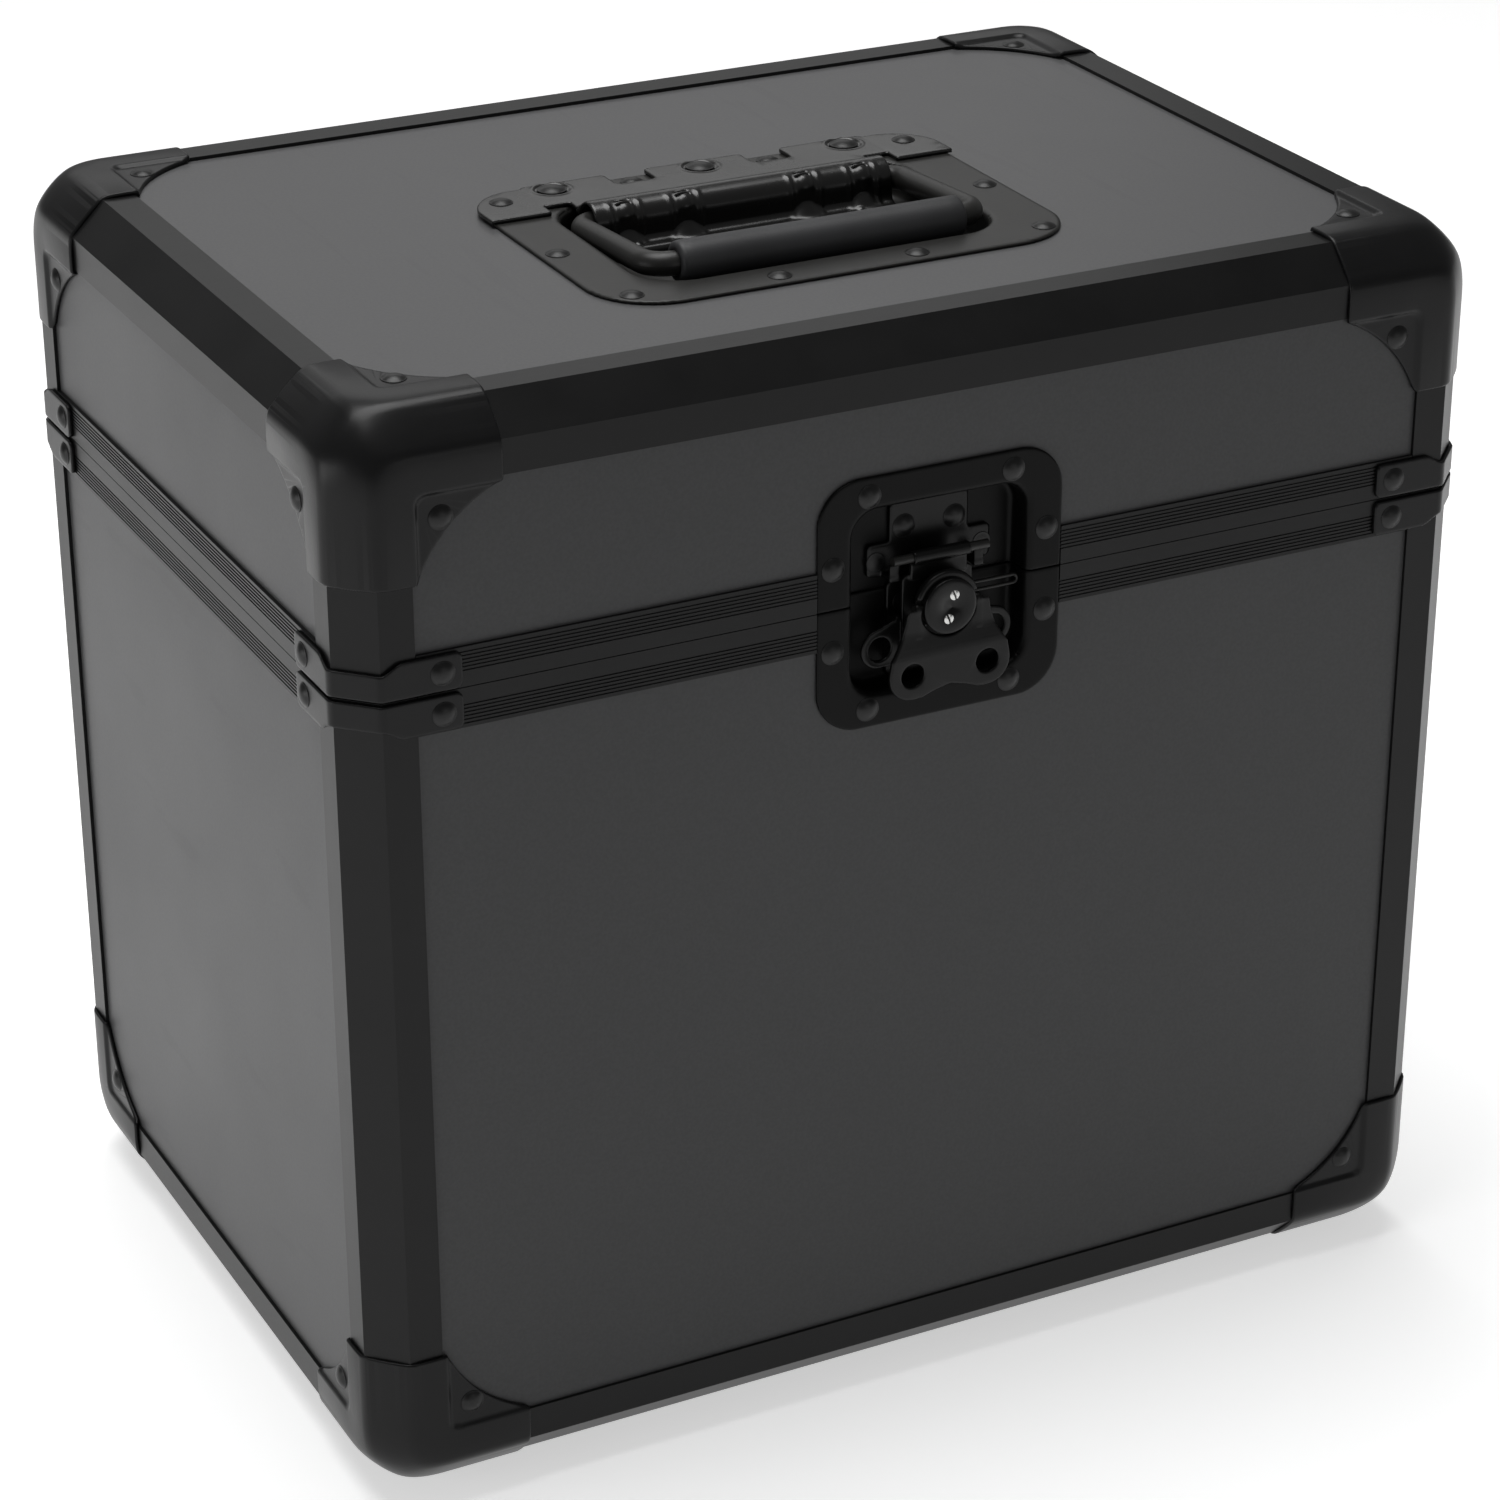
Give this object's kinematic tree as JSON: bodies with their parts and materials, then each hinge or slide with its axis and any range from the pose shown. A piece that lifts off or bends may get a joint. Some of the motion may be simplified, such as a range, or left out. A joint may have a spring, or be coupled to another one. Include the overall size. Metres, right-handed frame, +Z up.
{
  "type": "record carrying case",
  "caption": "Upright hard case for records: panels in metal edge profiles, ball corners, hinged lift-up lid, recessed swing handle and recessed padlockable turn latch.",
  "frame": {"origin": "centre of the bounding box at its bottom, on the underside of the feet", "axes": "+X to the right seen from the front, +Y to the back, +Z up; the latch faces -Y"},
  "size_m": [0.4064, 0.298, 0.387],
  "materials": {
    "panel_laminate": "smooth charcoal laminate over plywood, satin",
    "profile_black": "black anodised extrusion, satin",
    "corner_black": "black powder coat on pressed steel, satin",
    "fitting_black": "black powder coat, satin",
    "rivet_black": "black, satin, worn on the dome",
    "bright_steel": "bright zinc plated",
    "grip_rubber": "matte moulded rubber",
    "foot_rubber": "matte",
    "foam": "dark foam"
  },
  "bodies": {
    "base": {"base_floor_panel": "panel_laminate", "base_front_panel": "panel_laminate", "base_back_panel": "panel_laminate", "base_left_panel": "panel_laminate", "base_right_panel": "panel_laminate", "base_edge_profiles": "profile_black", "base_post_profiles": "profile_black", "base_rim_front": "profile_black", "base_rim_back": "profile_black", "base_rim_left": "profile_black", "base_rim_right": "profile_black", "base_corner_front_left": "corner_black", "base_corner_front_right": "corner_black", "base_corner_back_left": "corner_black", "base_corner_back_right": "corner_black", "base_braces": "corner_black", "base_rivets": "rivet_black", "feet": "foot_rubber", "foot_screws": "bright_steel", "base_pad": "foam", "latch_dish": "fitting_black", "latch_plate": "fitting_black", "latch_spring": "fitting_black", "hinge_base_leaves": "fitting_black", "hinge_pins": "bright_steel"},
    "lid": {"lid_top_panel": "panel_laminate", "lid_front_panel": "panel_laminate", "lid_back_panel": "panel_laminate", "lid_left_panel": "panel_laminate", "lid_right_panel": "panel_laminate", "lid_edge_profiles": "profile_black", "lid_post_profiles": "profile_black", "lid_rim_front": "profile_black", "lid_rim_back": "profile_black", "lid_rim_left": "profile_black", "lid_rim_right": "profile_black", "lid_corner_front_left": "corner_black", "lid_corner_front_right": "corner_black", "lid_corner_back_left": "corner_black", "lid_corner_back_right": "corner_black", "lid_braces": "corner_black", "lid_rivets": "rivet_black", "lid_pad": "foam", "keeper_dish": "fitting_black", "keeper_plate": "fitting_black", "hinge_lid_leaves": "fitting_black", "handle_dish": "fitting_black", "handle_cover": "fitting_black", "handle_springs": "bright_steel", "handle_rivets": "rivet_black"},
    "handle": {"handle_bail": "fitting_black", "handle_grip": "grip_rubber"},
    "hub": {"latch_spindle": "fitting_black", "latch_cap": "fitting_black", "latch_cap_pins": "bright_steel", "latch_wing_pin": "fitting_black"},
    "wing": {"latch_wing": "fitting_black"},
    "carriage": {"draw_pin": "fitting_black"},
    "draw": {"draw_plate": "fitting_black", "draw_bar": "fitting_black"}
  },
  "joints": [
    {"name": "lid_hinge", "type": "hinge", "parent": "base", "child": "lid", "pos_m": [0, 0.145, 0.29015], "axis": [-1, 0, 0], "range_deg": [0, 100]},
    {"name": "handle_swing", "type": "hinge", "parent": "lid", "child": "handle", "pos_m": [0, 0, 0.376], "axis": [-1, 0, 0], "range_deg": [0, 90], "stiffness_Nm_per_rad": 0.15},
    {"name": "hub_turn", "type": "hinge", "parent": "base", "child": "hub", "pos_m": [0, -0.141, 0.287], "axis": [0, -1, 0], "range_deg": [0, 180]},
    {"name": "draw_slide", "type": "slide", "parent": "base", "child": "carriage", "axis": [0, 0, -1], "range_m": [0, 0.0044]},
    {"name": "draw_tilt", "type": "hinge", "parent": "carriage", "child": "draw", "pos_m": [0, -0.1368, 0.278], "axis": [-1, 0, 0], "range_deg": [0, 12]},
    {"name": "wing_flip", "type": "hinge", "parent": "hub", "child": "wing", "pos_m": [0, -0.1453, 0.287], "axis": [-1, 0, 0], "range_deg": [0, 90]}
  ],
  "couplings": [
    {"joint": "draw_slide", "follows": "hub_turn", "m_per_rad": 0.0014006}
  ]
}
